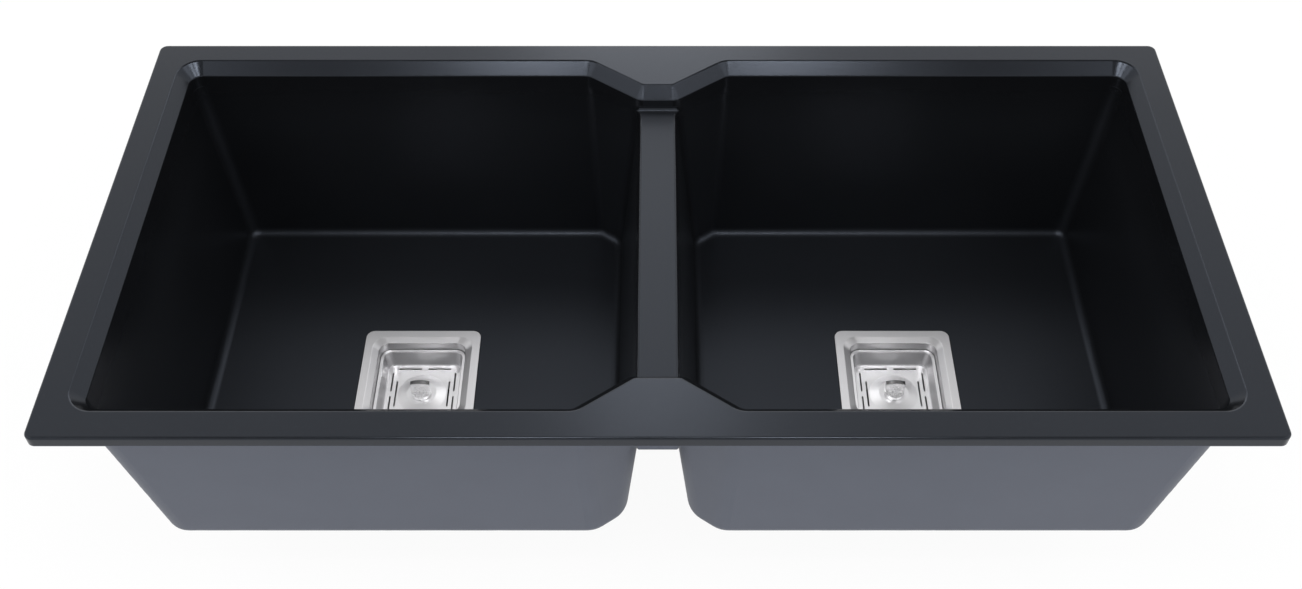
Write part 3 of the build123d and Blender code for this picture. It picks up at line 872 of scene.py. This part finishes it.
class SINK_OT_stage(bpy.types.Operator):
    """Set up the camera, the pale floor and the soft studio light"""

    bl_idname = "sink.stage"
    bl_label = "Stage"

    def execute(self, context):
        stage = context.scene.sink_stage
        self.add_camera(context.scene, stage)
        self.add_floor(stage)
        white_surround(stage)
        self.add_softboxes()
        context.scene.view_settings.view_transform = "Standard"
        return {"FINISHED"}

    def add_camera(self, scene, stage):
        """The camera before the sink, looking down at it as in the photograph."""
        front, top = cad_low.y, cad_high.z
        place = (0.0, front - stage.camera_distance, top + stage.camera_height)
        tilt = math.pi / 2 - stage.camera_tilt
        bpy.ops.object.camera_add(location=place, rotation=(tilt, 0.0, 0.0))
        camera = bpy.context.object
        camera.name = "photo_camera"
        camera.data.sensor_width = SENSOR_WIDTH_MM
        camera.data.lens = stage.lens
        camera.data.shift_x = stage.camera_shift
        scene.camera = camera

    def add_floor(self, stage):
        """A wide pale floor just below the outlets."""
        level = cad_low.z - stage.floor_gap
        bpy.ops.mesh.primitive_plane_add(size=FLOOR_SIZE, location=(0.0, 0.0, level))
        floor = bpy.context.object
        floor.name = "studio_floor"
        floor.data.materials.append(floor_finish(stage))

    def add_softboxes(self):
        """Three softboxes behind the sink, and two at each side of it; angles are in degrees."""
        softbox("back_softbox", 0.0, 53.3, distance=2.2, size=(0.30, 0.70), radiance=2.8)
        softbox("back_low_softbox", 0.0, 35.0, distance=2.5, size=(0.62, 0.36), radiance=2.5)
        softbox("wide_back_softbox", 0.0, 28.0, distance=3.0, size=(3.4, 0.7), radiance=0.8)
        for side, way in (("left", -1.0), ("right", 1.0)):
            softbox(f"{side}_softbox", way * 114.0, 47.0, distance=3.0, size=(2.4, 0.72), radiance=1.9)
            front = f"{side}_front_softbox"
            softbox(front, way * 153.5, 64.1, distance=1.04, size=(0.22, 0.19), radiance=15.5)


class SINK_PT_panel(bpy.types.Panel):
    """Sidebar panel with the sink's operators and settings"""

    bl_idname = "SINK_PT_panel"
    bl_label = "Double Bowl Sink"
    bl_space_type = "VIEW_3D"
    bl_region_type = "UI"
    bl_category = "Sink"

    def draw(self, context):
        scene = context.scene
        for group in (scene.sink_finishes, scene.sink_sizes, scene.sink_stage):
            box = self.layout.box()
            for name in group.__annotations__:
                box.prop(group, name)
        for operator in OPERATORS:
            self.layout.operator(operator.bl_idname)


OPERATORS = (
    SINK_OT_stone_body,
    SINK_OT_drain_wells,
    SINK_OT_seals,
    SINK_OT_cups_and_nuts,
    SINK_OT_baskets,
    SINK_OT_knobs,
    SINK_OT_clamps,
    SINK_OT_stage,
)
CLASSES = (SinkFinishes, SinkSizes, SinkStage, *OPERATORS, SINK_PT_panel)


def register():
    for cls in CLASSES:
        bpy.utils.register_class(cls)
    bpy.types.Scene.sink_finishes = bpy.props.PointerProperty(type=SinkFinishes)
    bpy.types.Scene.sink_sizes = bpy.props.PointerProperty(type=SinkSizes)
    bpy.types.Scene.sink_stage = bpy.props.PointerProperty(type=SinkStage)


def unregister():
    del bpy.types.Scene.sink_stage
    del bpy.types.Scene.sink_sizes
    del bpy.types.Scene.sink_finishes
    for cls in reversed(CLASSES):
        bpy.utils.unregister_class(cls)


def main():
    """Builds the sink's looks."""
    register()
    bpy.ops.object.select_all(action="DESELECT")
    bpy.ops.sink.stone_body()
    bpy.ops.sink.drain_wells()
    bpy.ops.sink.seals()
    bpy.ops.sink.cups_and_nuts()
    bpy.ops.sink.baskets()
    bpy.ops.sink.knobs()
    bpy.ops.sink.clamps()
    bpy.ops.sink.stage()


if __name__ == "__main__":
    main()
